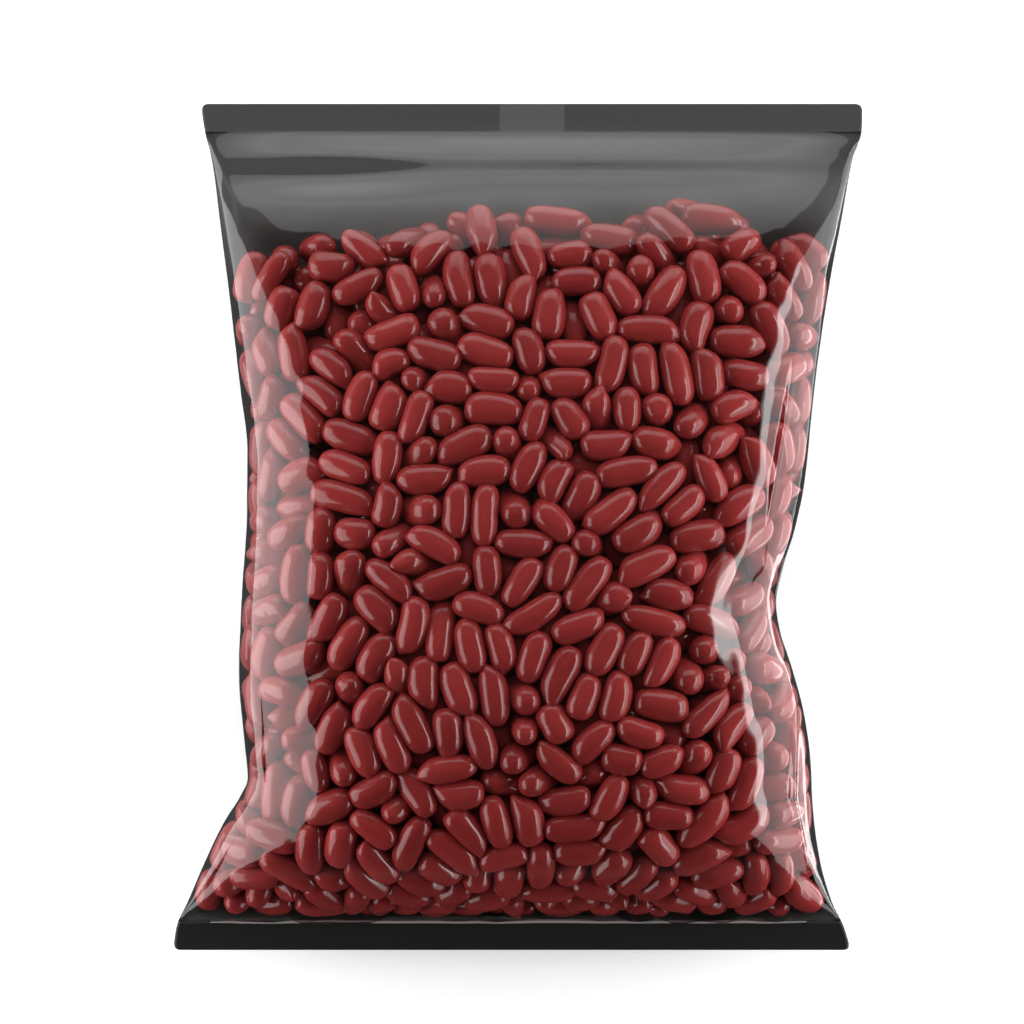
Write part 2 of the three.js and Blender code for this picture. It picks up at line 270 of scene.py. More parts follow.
# The surroundings that only mirrors and bounced light see: (height, grey) from the level
# up, and their strength from behind the bag's foot to its head
SKY = [(0.0, 0.4), (0.12, 0.75), (0.55, 0.02)]
SKY_FROM, SKY_TO = -0.7, 0.2
SKY_FAINTEST = 0.1

# Softboxes as (name, x, y, width, low, high, strength) in metres. They reach below the
# floor, which mirrors don't see, so that the film's steep sides mirror them too.
SOFTBOXES = [
    ("softbox_left", -0.83, -0.19, 1.12, -0.32, 0.74, LEFT_LIGHT),
    ("softbox_right", 0.83, -0.24, 1.32, -0.6, 0.6, RIGHT_LIGHT),
    ("strip_high", 0.81, -0.1, 1.0, 0.44, 0.56, STRIP_LIGHT),
    ("strip_low", 0.81, -0.1, 1.0, -0.55, -0.4, STRIP_LIGHT),
    ("softbox_top", 0.02, 0.95, 1.4, -1.2, 0.68, TOP_LIGHT),
]

# Fill lights as (name, place, size, strength) in metres, with no mirror image in the film:
# two that reach between the beans, and one low at each side for the bag's edges
FILLS = [
    ("fill_above", (0.0, 0.33, 0.27), (0.6, 0.3), FILL_LIGHT),
    ("fill_straight", (0.0, 0.2, 0.88), (0.3, 0.3), STRAIGHT_LIGHT),
    ("fill_left", (-0.6, 0, 0.16), (0.7, 0.3), LOW_LIGHT),
    ("fill_right", (0.6, 0, 0.16), (0.7, 0.3), LOW_LIGHT),
]

# Where the heap of beans ends under the top seal, as (x, y)
FILL_LINE = [
    (-95, 68), (-72, 74), (-60, 77), (-51, 81), (-32, 79.5), (-19, 85), (5, 88.5),
    (26, 80.5), (37, 89.5), (49, 88.5), (60, 84.5), (71, 82), (82, 76), (95, 70),
]


def smooth_through(points):
    """A curve through (position, value) pairs by cubic pieces that never overshoot."""
    at = np.array([p[0] for p in points], float)
    value = np.array([p[1] for p in points], float)
    chord = np.diff(value) / np.diff(at)
    slope = np.empty(len(at))
    slope[0], slope[-1] = chord[0], chord[-1]
    before, after = chord[:-1], chord[1:]
    same_way = before * after > 0
    total = np.where(same_way, before + after, 1.0)
    slope[1:-1] = np.where(same_way, 2 * before * after / total, 0.0)

    def curve(position):
        position = np.asarray(position, float)
        i = np.clip(np.searchsorted(at, position, side="right") - 1, 0, len(at) - 2)
        width = at[i + 1] - at[i]
        t = np.clip((position - at[i]) / width, 0, 1)
        rise = t * t * (3 - 2 * t)
        leave = t * (1 - t) ** 2 * width * slope[i]
        arrive = t * t * (1 - t) * width * slope[i + 1]
        return value[i] + (value[i + 1] - value[i]) * rise + leave - arrive

    return curve


left_edge = smooth_through(LEFT_EDGE)
right_edge = smooth_through(RIGHT_EDGE)
front_height = smooth_through(FRONT_HEIGHT)
seam_height = smooth_through(SEAM_HEIGHT)
back_height = smooth_through(BACK_HEIGHT)
fill_line = smooth_through(FILL_LINE)


def smoothstep(t):
    t = np.clip(t, 0, 1)
    return t * t * (3 - 2 * t)


def corner_inset(y):
    """How far the rounded corners of a seal draw its side edge in."""
    into = np.maximum(CORNER_RADIUS - (TOP - np.abs(y)), 0)
    return CORNER_RADIUS - np.sqrt(np.maximum(CORNER_RADIUS**2 - into**2, 0))


def arch(width, height, power, columns):
    """Half a superellipse from its left over the top to its right, evenly spaced along it."""
    angle = np.linspace(math.pi, 0, ARCH_SAMPLES)
    c, s = np.cos(angle), np.maximum(np.sin(angle), 0)
    x = np.sign(c) * width * np.abs(c) ** (2 / power)
    z = height * s ** (2 / power)
    path = np.concatenate([[0], np.cumsum(np.hypot(np.diff(x), np.diff(z)))])
    wanted = np.linspace(0, path[-1], columns + 1)
    return np.interp(wanted, path, x), np.interp(wanted, path, z)


def wave_height(x, y):
    """The height of the film's waves, which die out at the top seal."""
    total = np.zeros_like(x)
    for wx, wy, along, across, height in WAVES:
        total += height * np.exp(-(((x - wx) / along) ** 2) - ((y - wy) / across) ** 2)
    return total * smoothstep((TOP_SEAL - y) / WAVE_FADE)


def sheet(places, columns, is_front):
    """The front or back sheet as a grid of points, rows along the bag."""
    grid = np.empty((len(places), columns + 1, 3))
    for j, y in enumerate(places):
        inset = corner_inset(y)
        left, right = left_edge(y) + inset, right_edge(y) - inset
        seam = seam_height(y) + (0.5 if is_front else -0.5) * SEAL_THICKNESS
        reach = (front_height(y) if is_front else back_height(y)) - seam
        inside = min(TOP_SEAL - y, y - BOTTOM_SEAL) / SQUARE_FROM
        blend = smoothstep(inside)
        power = SEAL_SQUARENESS + (BODY_SQUARENESS - SEAL_SQUARENESS) * blend
        x, z = arch((right - left) / 2, abs(reach), power, columns)
        x = x + (left + right) / 2
        if is_front and abs(reach) > FLAT_SHEET:
            z = z + wave_height(x, y) * z / abs(reach)
        grid[j, :, 0], grid[j, :, 1] = x, y
        grid[j, :, 2] = np.maximum(seam + math.copysign(1, reach) * z, 0)
    return grid


def row_places(step):
    """The rows' places along the bag, with one at each seal line and rounded corners."""
    ends = CORNER_RADIUS * np.array(CORNER_ROWS)
    body = np.linspace(BOTTOM_SEAL, TOP_SEAL, round((TOP_SEAL - BOTTOM_SEAL) / step) + 1)
    band = np.linspace(BOTTOM + CORNER_RADIUS, BOTTOM_SEAL, BAND_ROWS)[1:-1]
    return np.concatenate([BOTTOM + ends, band, body, -band[::-1], TOP - ends[::-1]])


def skin_faces(rows, front_columns, back_columns, start_back):
    """Faces of the closed skin: front sheet, back sheet and the strip round their rims."""
    def front(j, k):
        return j * (front_columns + 1) + k

    def back(j, k):
        return start_back + j * (back_columns + 1) + k

    faces = []
    for j in range(rows - 1):
        faces += [(front(j, k), front(j, k + 1), front(j + 1, k + 1), front(j + 1, k))
                  for k in range(front_columns)]
        faces += [(back(j, k + 1), back(j, k), back(j + 1, k), back(j + 1, k + 1))
                  for k in range(back_columns)]
        faces.append((back(j, 0), front(j, 0), front(j + 1, 0), back(j + 1, 0)))
        faces.append((front(j, front_columns), back(j, back_columns),
                      back(j + 1, back_columns), front(j + 1, front_columns)))
    ratio = front_columns // back_columns
    for j, flip in ((0, False), (rows - 1, True)):
        for k in range(back_columns):
            loop = [back(j, k), back(j, k + 1)]
            loop += [front(j, i) for i in range((k + 1) * ratio, k * ratio - 1, -1)]
            faces.append(tuple(reversed(loop)) if flip else tuple(loop))
    return faces


def new_mesh(name, points, faces, smooth=True):
    """A mesh object from points in millimetres."""
    mesh = bpy.data.meshes.new(name)
    mesh.from_pydata((np.asarray(points) * MM).tolist(), [], faces)
    mesh.validate()
    mesh.polygons.foreach_set("use_smooth", [smooth] * len(mesh.polygons))
    mesh.update()
    obj = bpy.data.objects.new(name, mesh)
    bpy.context.scene.collection.objects.link(obj)
    return obj


# Packing the beans

def film_depth(step):
    """How deep each cell of a grid over the bag lies inside the film, in millimetres, and
    the direction in which that depth grows."""
    places = row_places(DEPTH_ROW)
    front = sheet(places, DEPTH_COLUMNS[0], True)
    back = sheet(places, DEPTH_COLUMNS[1], False)
    points = np.concatenate([front.reshape(-1, 3), back.reshape(-1, 3)])
    faces = skin_faces(len(places), *DEPTH_COLUMNS, front.shape[0] * front.shape[1])
    tree = BVHTree.FromPolygons(points.tolist(), faces)
    low, high = points.min(0) - step, points.max(0) + step
    axes = [np.arange(low[i], high[i] + step, step) for i in range(3)]
    depth = np.empty([len(a) for a in axes])
    for i, x in enumerate(axes[0]):
        for j, y in enumerate(axes[1]):
            for k, z in enumerate(axes[2]):
                near, normal, _, distance = tree.find_nearest((x, y, z))
                inside = (near - Vector((x, y, z))).dot(normal) > 0
                depth[i, j, k] = distance if inside else -distance
    return low, step, depth, np.stack(np.gradient(depth, step), -1)


def sample(field, low, step, points):
    """A grid's values at points, blended between the eight cells round each."""
    shape = np.array(field.shape[:3])
    at = np.clip((points - low) / step, 0, shape - 1.001)
    base = at.astype(int)
    part = at - base
    total = 0
    for corner in np.ndindex(2, 2, 2):
        weight = np.prod(np.where(corner, part, 1 - part), axis=1)
        i, j, k = (base + corner).T
        value = field[i, j, k]
        total = total + (weight[:, None] * value if value.ndim > 1 else weight * value)
    return total


def near_pairs(points, reach):
    """Pairs of points closer than reach, found by a sweep along the bag."""
    order = np.argsort(points[:, 1], kind="stable")
    y = points[order, 1]
    last = np.searchsorted(y, y + reach)
    count = last - np.arange(len(y)) - 1
    first = np.repeat(np.arange(len(y)), count)
    second = first + 1 + np.arange(count.sum()) - np.repeat(np.cumsum(count) - count, count)
    a, b = order[first], order[second]
    gap = points[a] - points[b]
    close = (np.abs(gap[:, 0]) < reach) & (np.abs(gap[:, 2]) < reach)
    a, b, gap = a[close], b[close], gap[close]
    close = (gap**2).sum(1) < reach**2
    return a[close], b[close]


def bean_sizes(rng):
    """Half length and radius of each bean, uneven as real beans are."""
    half = np.clip(rng.normal(BEAN_LENGTH / 2, HALF_LENGTH_SPREAD, BEAN_COUNT), *HALF_LENGTHS)
    radius = np.clip(rng.normal(BEAN_RADIUS, RADIUS_SPREAD, BEAN_COUNT), *RADII)
    return half, radius


def start_places(rng, low, step, depth):
    """Random places inside the film and under the fill line, one for each bean."""
    cells = np.argwhere(depth > START_DEPTH)
    places = low + cells * step
    places = places[places[:, 1] < fill_line(places[:, 0]) - UNDER_FILL_LINE]
    chosen = rng.choice(len(places), BEAN_COUNT, replace=len(places) < BEAN_COUNT)
    return places[chosen] + rng.uniform(-step / 2, step / 2, (BEAN_COUNT, 3))


def unit(vectors):
    return vectors / np.maximum(np.linalg.norm(vectors, axis=-1, keepdims=True), 1e-9)


def push_apart(points, ball, first, second):
    """How far each sphere moves so that near pairs stop overlapping, with the overlap of
    each pair and which pairs touch."""
    gap = points[first] - points[second]
    distance = np.maximum(np.linalg.norm(gap, axis=1), 1e-6)
    overlap = ball[first] + ball[second] - distance
    touching = overlap > 0
    a, b = first[touching], second[touching]
    push = gap[touching] / distance[touching, None] * overlap[touching, None] * 0.5
    move = np.zeros_like(points)
    for i in range(3):
        move[:, i] += np.bincount(a, push[:, i], len(points))
        move[:, i] -= np.bincount(b, push[:, i], len(points))
    met = np.bincount(a, minlength=len(points)) + np.bincount(b, minlength=len(points))
    move /= np.maximum(1, met * PUSH_SHARED)[:, None]
    return move, overlap, touching


def pack_beans(rng):
    """Centres, axes and sizes of beans that rest against each other inside the film. Each
    bean is three spheres in a row, and overlapping ones are pushed apart again and again."""
    low, step, depth, inward = film_depth(DEPTH_STEP)
    half, radius = bean_sizes(rng)
    centre = start_places(rng, low, step, depth)
    axis = unit(rng.normal(size=(BEAN_COUNT, 3)))
    outward = sample(inward, low, step, centre)
    near_film = sample(depth, low, step, centre) < LYING_DEPTH
    lying = near_film & (rng.random(BEAN_COUNT) < LYING_SHARE)
    along = (axis * unit(outward)).sum(1, keepdims=True) * unit(outward)
    axis = np.where(lying[:, None], unit(axis - LYING_TURN * along), axis)
    share = np.array([-1.0, 0.0, 1.0])
    owner = np.repeat(np.arange(BEAN_COUNT), 3)
    for turn in range(TURNS):
        grown = min(1.0, FIRST_SIZE + GROWTH * turn / (GROWN_AT * TURNS))
        reach = (half - radius) * grown
        ball = np.repeat(radius * grown, 3)
        points = (centre[:, None] + share[:, None] * (reach[:, None] * axis)[:, None])
        points = points.reshape(-1, 3)
        if turn % PAIRS_EVERY == 0:
            first, second = near_pairs(points, 2 * radius.max() + PAIR_MARGIN)
            other = owner[first] != owner[second]
            first, second = first[other], second[other]
        move, overlap, touching = push_apart(points, ball, first, second)
        inside = sample(depth, low, step, points)
        short = np.maximum(ball + FILM_GAP - inside, 0)
        wall = unit(sample(inward, low, step, points))
        move += wall * short[:, None]
        move[:, 1] -= np.maximum(points[:, 1] + ball - fill_line(points[:, 0]), 0)
        move[:, 1] += np.maximum(LOWEST_BEAN - points[:, 1] + ball, 0)
        move = move.reshape(-1, 3, 3)
        centre = centre + move.mean(1)
        turned = (move[:, 2] - move[:, 0]) / (2 * np.maximum(reach, 1)[:, None])
        axis = unit(axis + turned * TURN_SHARE)
        settle = SETTLE * (1 - turn / TURNS)
        centre[:, 1] -= SETTLE_ALONG * settle
        outward = -unit(sample(inward, low, step, centre))
        near_film = sample(depth, low, step, centre) < PRESSED_DEPTH
        beside = near_film & (outward[:, 2] > UNDERSIDE)
        centre[beside] += SETTLE_OUT * settle * outward[beside]
    inside = sample(depth, low, step, centre)
    outward = -unit(sample(inward, low, step, centre))
    print("packed", BEAN_COUNT, "beans; mean overlap", round(float(overlap[touching].mean()), 3),
          "worst", round(float(overlap.max()), 3), "in film", round(float(short.max()), 3))
    return (centre, axis, half, radius, outward), inside, (low, step, depth)


# Bean meshes

def bean_points(rng, beans, rings, sides):
    """Points of every bean, as an array of beans by points. A bean is a blunt barrel with
    a slight bend and an uneven girth. Most have one end cut aslant, with a small beak."""
    centre, axis, half, radius, outward = beans
    count = len(centre)
    one_each = (count, 1, 1)
    girth_power = rng.uniform(*GIRTH_POWER, one_each)
    taper = rng.normal(0, TAPER_SPREAD, one_each)
    bend = rng.uniform(*BEND, one_each)
    flat = rng.uniform(*FLATNESS, one_each)
    beaked = rng.random(one_each) < BEAKED_SHARE
    slant = np.where(beaked, rng.uniform(*SLANT, one_each), 0.0)
    beak = np.where(beaked, rng.uniform(*BEAK, one_each), PLAIN_END)
    beak_turn = rng.uniform(*BEAK_TURN, one_each)
    phase = rng.uniform(0, 2 * math.pi, (count, 1, 1, len(LUMPS)))
    turn = np.linspace(0, math.pi, rings + 1)[None, :, None]
    round_ = np.linspace(0, 2 * math.pi, sides, endpoint=False)[None, None, :]
    c, s = np.cos(turn), np.sin(turn)
    u = np.sign(c) * np.abs(c) ** (2 / girth_power)
    girth = np.abs(s) ** (2 / girth_power) * (1 + taper * u)
    lumps = 1
    for i, (size, times, twist) in enumerate(LUMPS):
        lumps = lumps + size * np.cos(times * round_ + phase[..., i] + twist * u)
    r = radius[:, None, None] * girth * lumps
    y = r * np.cos(round_) * flat
    z = r * np.sin(round_)
    x = u * half[:, None, None] + slant * z * smoothstep(u * 1.6 - 0.6)
    off_tip = ((turn - beak_turn) / BEAK_WIDTH) ** 2
    tip = np.exp(-off_tip - (1 - np.sin(round_)) * BEAK_ROUND * beak_turn)
    x = x + beak * tip * BEAK_OUT
    z = z + bend * (u**2 - 0.4) + beak * tip * BEAK_UP
    local = np.stack([x, y, z], -1)
    facing = unit(outward + FACING_SPREAD * rng.normal(size=(count, 3)))
    side = unit(facing - (facing * axis).sum(1, keepdims=True) * axis)
    up = np.cross(axis, side) * rng.choice((-1.0, 1.0), (count, 1))
    side = np.cross(up, axis)
    own_frame = np.stack([axis, side, up], 1)
    world = np.einsum("bijk,bkl->bijl", local, own_frame) + centre[:, None, None]
    return local, world


def bean_faces(count, per_bean, rings, sides):
    """Quads round every bean, and the triangles at its two ends. A bean's points are its
    inner rings and then its two poles."""
    start, end = per_bean - 2, per_bean - 1
    faces, k = [], np.arange(sides)
    after = (k + 1) % sides
    for ring in range(rings - 2):
        a, b = ring * sides, (ring + 1) * sides
        faces.append(np.stack([a + k, b + k, b + after, a + after], 1))
    quads = np.concatenate(faces)
    last = (rings - 2) * sides
    caps = np.concatenate([
        np.stack([np.full(sides, start), k, after], 1),
        np.stack([np.full(sides, end), last + after, last + k], 1),
    ])
    shift = (np.arange(count) * per_bean)[:, None, None]
    return (quads[None] + shift).reshape(-1, 4), (caps[None] + shift).reshape(-1, 3)


def bean_piece(name, rng, beans, room, rings, sides):
    """One joined mesh of many beans, with each point's place on its own bean and the
    bean's own tone kept for the skin. Beans that reach through the film are drawn back."""
    local, world = bean_points(rng, beans, rings, sides)
    count = len(local)
    low, step, depth = room
    clear = sample(depth, low, step, world.reshape(-1, 3)).reshape(count, -1).min(1)
    back_in = np.clip(FILM_CLEAR + FILM_CLEAR_MARGIN - clear, 0, BACK_IN_MOST)
    outward = beans[4]
    world -= (outward * back_in[:, None])[:, None, None]
    world[..., 2] = np.maximum(world[..., 2], LAP_SHEET + BEAN_OVER_LAP)
    inner = world[:, 1:-1].reshape(count, -1, 3)
    poles = world[:, [0, -1], 0]
    points = np.concatenate([inner, poles], 1)
    own = np.concatenate([local[:, 1:-1].reshape(count, -1, 3), local[:, [0, -1], 0]], 1)
    per_bean = points.shape[1]
    quads, caps = bean_faces(count, per_bean, rings, sides)
    mesh = bpy.data.meshes.new(name)
    mesh.vertices.add(count * per_bean)
    mesh.vertices.foreach_set("co", (points * MM).ravel())
    mesh.loops.add(quads.size + caps.size)
    mesh.loops.foreach_set("vertex_index", np.concatenate([quads.ravel(), caps.ravel()]))
    mesh.polygons.add(len(quads) + len(caps))
    starts = np.concatenate([np.arange(len(quads)) * 4,
                             quads.size + np.arange(len(caps)) * 3])
    mesh.polygons.foreach_set("loop_start", starts)
    mesh.polygons.foreach_set("use_smooth", np.ones(len(starts), bool))
    mesh.update(calc_edges=True)
    mesh.validate()
    place = mesh.attributes.new("own_place", "FLOAT_VECTOR", "POINT")
    apart = rng.uniform(-NOISE_APART, NOISE_APART, (count, 1, 3))
    place.data.foreach_set("vector", (own + apart).ravel())
    tone = mesh.attributes.new("tone", "FLOAT", "POINT")
    tone.data.foreach_set("value", np.repeat(rng.random(count), per_bean))
    obj = bpy.data.objects.new(name, mesh)
    bpy.context.scene.collection.objects.link(obj)
    return obj, points.reshape(-1, 3)


# The film

def crease_height(x, y):
    """Folds of the film: each is a soft ridge or groove along its own line."""
    total = np.zeros_like(x)
    for line, height, width in CREASES:
        nearest = np.full_like(x, 1e9)
        fade = np.zeros_like(x)
        path = np.array(line, float)
        steps = len(path) - 1
        for i in range(steps):
            run = path[i + 1] - path[i]
            t = ((x - path[i, 0]) * run[0] + (y - path[i, 1]) * run[1]) / (run @ run)
            t = np.clip(t, 0, 1)
            away = np.hypot(x - path[i, 0] - t * run[0], y - path[i, 1] - t * run[1])
            closer = away < nearest
            nearest = np.where(closer, away, nearest)
            fade = np.where(closer, (i + t) / steps, fade)
        ends = np.maximum(np.sin(math.pi * fade), 0) ** FOLD_ENDS
        total += height * ends * np.exp(-((nearest / width) ** 2))
    return total


def spread(grid, times):
    """Each value of a grid becomes the highest of its neighbours', as often as asked."""
    for _ in range(times):
        wide = np.pad(grid, 1, mode="edge")
        grid = np.max([wide[1 + i:wide.shape[0] - 1 + i, 1 + k:wide.shape[1] - 1 + k]
                       for i in (-1, 0, 1) for k in (-1, 0, 1)], axis=0)
    return grid


def blurred(grid, times):
    for _ in range(times):
        wide = np.pad(grid, 1, mode="edge")
        grid = (4 * grid + 2 * (wide[:-2, 1:-1] + wide[2:, 1:-1] + wide[1:-1, :-2]
                + wide[1:-1, 2:]) + wide[:-2, :-2] + wide[:-2, 2:] + wide[2:, :-2]
                + wide[2:, 2:]) / 16
    return grid


def pressed_out(grid, points):
    """How far beans that reach through a sheet press it outwards, for each of its points."""
    rows, columns = grid.shape[0], grid.shape[1]
    corners = [(j * columns + k, j * columns + k + 1, (j + 1) * columns + k + 1,
                (j + 1) * columns + k) for j in range(rows - 1) for k in range(columns - 1)]
    tree = BVHTree.FromPolygons(grid.reshape(-1, 3).tolist(), corners)
    need = np.zeros((rows, columns))
    middle = Vector(grid.reshape(-1, 3).mean(0))
    for point in points:
        place = Vector(point)
        near, normal, face, distance = tree.find_nearest(place, PRESS_REACH)
        if near is None:
            continue
        outwards = normal if normal.dot(near - middle) > 0 else -normal
        over = math.copysign(distance, (place - near).dot(outwards)) + FILM_CLEAR
        if over > 0:
            j, k = divmod(face, columns - 1)
            need[j:j + 2, k:k + 2] = np.maximum(need[j:j + 2, k:k + 2], over)
    return blurred(spread(need, PRESS_SPREAD), PRESS_BLUR)


def off_seals(places, fade):
    """1 in the bag's middle, falling to 0 at each seal over a length."""
    return smoothstep((TOP_SEAL - places) / fade) * smoothstep((places - BOTTOM_SEAL) / fade)


def film_grids(beans, near_points):
    """Front and back sheets of the film. The front one sinks a little between the beans,
    and both give way where a bean reaches further."""
    places = row_places(FILM_ROW)
    front = sheet(places, FRONT_COLUMNS, True)
    back = sheet(places, BACK_COLUMNS, False)
    back[..., 2] = np.maximum(back[..., 2], LAP_SHEET)
    centre, axis, half, radius, _ = beans
    tree = KDTree(len(centre) * 5)
    reach = (half - radius)[:, None] * axis
    for i, share in enumerate((-1.0, -0.5, 0.0, 0.5, 1.0)):
        for k, place in enumerate(centre + share * reach):
            tree.insert(place, k + i * len(centre))
    tree.balance()
    gap = np.empty(front.shape[:2])
    for j in range(front.shape[0]):
        for k in range(front.shape[1]):
            _, which, distance = tree.find(front[j, k])
            gap[j, k] = distance - radius[which % len(centre)]
    gap = np.maximum(gap - FILM_GAP, 0)
    sink = blurred(SINK_SHARE * gap * np.exp(-((gap / SINK_REACH) ** 2)), SINK_BLUR)
    folds = crease_height(front[..., 0], front[..., 1])
    held = off_seals(places, FOLD_FADE)
    held_close = off_seals(places, PRESS_FADE)
    rim = np.sin(np.linspace(0, math.pi, front.shape[1])) ** RIM_HOLD
    made = []
    for grid, relief in ((front, (folds - sink) * held[:, None] * rim[None]), (back, 0)):
        normal = unit(np.cross(np.gradient(grid, axis=1), np.gradient(grid, axis=0)))
        if grid is back:
            normal = -normal
        grid = grid + normal * np.broadcast_to(relief, grid.shape[:2])[..., None]
        pressed = pressed_out(grid, near_points) * held_close[:, None]
        grid = grid + normal * pressed[..., None]
        made.append(grid)
    front, back = made
    back[..., 2] = np.maximum(back[..., 2], LAP_SHEET)
    return places, front, back


def film_pieces(beans, near_points):
    """The clear film and the dark film, which together close the bag."""
    places, front, back = film_grids(beans, near_points)
    rows = len(places)
    points = np.concatenate([front.reshape(-1, 3), back.reshape(-1, 3)])
    faces = skin_faces(rows, FRONT_COLUMNS, BACK_COLUMNS, rows * (FRONT_COLUMNS + 1))
    back_start = rows * (FRONT_COLUMNS + 1)
    middles = np.array([points[list(face), 1].mean() for face in faces])
    in_seal = (middles > TOP_SEAL) | (middles < BOTTOM_SEAL)
    is_dark = in_seal | np.array([max(face) >= back_start for face in faces])
    pieces = []
    for name, wanted in (("clear_film", ~is_dark), ("dark_film", is_dark)):
        chosen = [faces[i] for i in np.flatnonzero(wanted)]
        used = sorted({i for face in chosen for i in face})
        index = {old: new for new, old in enumerate(used)}
        chosen = [tuple(index[i] for i in face) for face in chosen]
        pieces.append(new_mesh(name, points[used], chosen))
    return pieces


def lap_strip():
    """The seam down the back: a strip of doubled film on the back sheet."""
    places = row_places(FILM_ROW * 2)
    places = places[(places > BOTTOM_SEAL - 1) & (places < TOP_SEAL + 1)]
    grid = sheet(places, BACK_COLUMNS * 2, False)
    columns = LAP_COLUMNS
    outer, inner = [], []
    for row in grid:
        x = LAP_X + np.linspace(-LAP_WIDTH / 2, LAP_WIDTH / 2, columns + 1)
        z = np.interp(x, row[:, 0], row[:, 2])
        outer.append(np.stack([x, np.full_like(x, row[0, 1]), np.maximum(z - LAP_SHEET, 0)], 1))
        inner.append(np.stack([x, np.full_like(x, row[0, 1]), z + LAP_SHEET * 0.4], 1))
    points = np.concatenate([np.concatenate(outer), np.concatenate(inner)])
    rows, wide, n = len(grid), columns + 1, len(grid) * (columns + 1)
    faces = []
    for j in range(rows - 1):
        for k in range(columns):
            a = j * wide + k
            faces.append((a + 1, a, a + wide, a + wide + 1))
            faces.append((n + a, n + a + 1, n + a + wide + 1, n + a + wide))
        left, right = j * wide, j * wide + columns
        faces.append((left, n + left, n + left + wide, left + wide))
        faces.append((n + right, right, right + wide, n + right + wide))
    last = (rows - 1) * wide
    for k in range(columns):
        faces.append((k, k + 1, n + k + 1, n + k))
        faces.append((last + k + 1, last + k, n + last + k, n + last + k + 1))
    return new_mesh("lap_seam", points, faces, smooth=False)


def highlight_bead(rng):
    """The thin bead of film squeezed out along the inner edge of the bottom seal. Its pale grey
    is a painted highlight line there.
    """
    n = BEAD_SIDES
    x = np.linspace(*BEAD_ENDS, BEAD_POINTS)
    knots = rng.normal(0, BEAD_WOBBLE, BEAD_KNOTS)
    wobble = np.interp(x, np.linspace(*BEAD_ENDS, BEAD_KNOTS), knots)
    blunt_ends = np.sin(np.linspace(0.01, math.pi - 0.01, BEAD_POINTS)) * 6
    thick = BEAD_RADIUS * np.sqrt(np.clip(blunt_ends, 0, 1))
    thick = thick * (1 + 1.5 * wobble)
    angle = np.linspace(0, 2 * math.pi, n, endpoint=False)
    middle = front_height(BOTTOM_SEAL) + BEAD_RADIUS / 2
    points = np.stack([
        np.repeat(x, n),
        (BOTTOM_SEAL + wobble[:, None] + thick[:, None] * np.cos(angle)).ravel(),
        (middle + thick[:, None] * np.sin(angle)).ravel(),
    ], 1)
    faces = [(j * n + k, j * n + n + k, j * n + n + (k + 1) % n, j * n + (k + 1) % n)
             for j in range(BEAD_POINTS - 1) for k in range(n)]
    last = (BEAD_POINTS - 1) * n
    faces += [tuple(range(n)), tuple(range(last + n - 1, last - 1, -1))]
    return new_mesh("highlight_bead", points, faces)


# Materials

def new_material(name):
    material = bpy.data.materials.new(name)
    material.use_nodes = True
    nodes = material.node_tree.nodes
    nodes.clear()
    output = nodes.new("ShaderNodeOutputMaterial")
    return material, nodes, material.node_tree.links, output


def bean_skin():
    """Glossy red skin. Each bean has its own tone, soft mottles, and faint streaks along
    it in relief."""
    material, nodes, links, output = new_material("bean_skin")
    skin = nodes.new("ShaderNodeBsdfPrincipled")
    tone = nodes.new("ShaderNodeAttribute")
    tone.attribute_name = "tone"
    place = nodes.new("ShaderNodeAttribute")
    place.attribute_name = "own_place"
    stretch = nodes.new("ShaderNodeVectorMath")
    stretch.operation = "MULTIPLY"
    stretch.inputs[1].default_value = STREAK_STRETCH
    streaks = nodes.new("ShaderNodeTexNoise")
    streaks.inputs["Scale"].default_value = STREAK_SCALE
    streaks.inputs["Detail"].default_value = STREAK_DETAIL
    mottle = nodes.new("ShaderNodeTexNoise")
    mottle.inputs["Scale"].default_value = MOTTLE_SCALE
    colours = nodes.new("ShaderNodeValToRGB")
    colours.color_ramp.elements[0].color = (*BEAN_DARK, 1)
    colours.color_ramp.elements[1].color = (*BEAN_LIGHT, 1)
    add_tone = nodes.new("ShaderNodeMath")
    add_tone.operation = "MULTIPLY_ADD"
    add_tone.inputs[1].default_value = TONE_SHARE
    add_mottle = nodes.new("ShaderNodeMath")
    add_mottle.operation = "MULTIPLY_ADD"
    add_mottle.inputs[1].default_value = MOTTLE_SHARE
    bump = nodes.new("ShaderNodeBump")
    bump.inputs["Strength"].default_value = BEAN_BUMP
    bump.inputs["Distance"].default_value = BEAN_BUMP_DEPTH
    skin.inputs["Roughness"].default_value = BEAN_ROUGHNESS
    skin.inputs["Specular IOR Level"].default_value = BEAN_SPECULAR
    links.new(place.outputs["Vector"], stretch.inputs[0])
    links.new(stretch.outputs["Vector"], streaks.inputs["Vector"])
    links.new(place.outputs["Vector"], mottle.inputs["Vector"])
    links.new(tone.outputs["Fac"], add_tone.inputs[0])
    links.new(mottle.outputs["Fac"], add_mottle.inputs[0])
    links.new(add_mottle.outputs["Value"], add_tone.inputs[2])
    links.new(streaks.outputs["Fac"], bump.inputs["Height"])
    links.new(add_tone.outputs["Value"], colours.inputs["Fac"])
    links.new(colours.outputs["Color"], skin.inputs["Base Color"])
    links.new(bump.outputs["Normal"], skin.inputs["Normal"])
    links.new(skin.outputs["BSDF"], output.inputs["Surface"])
    return material


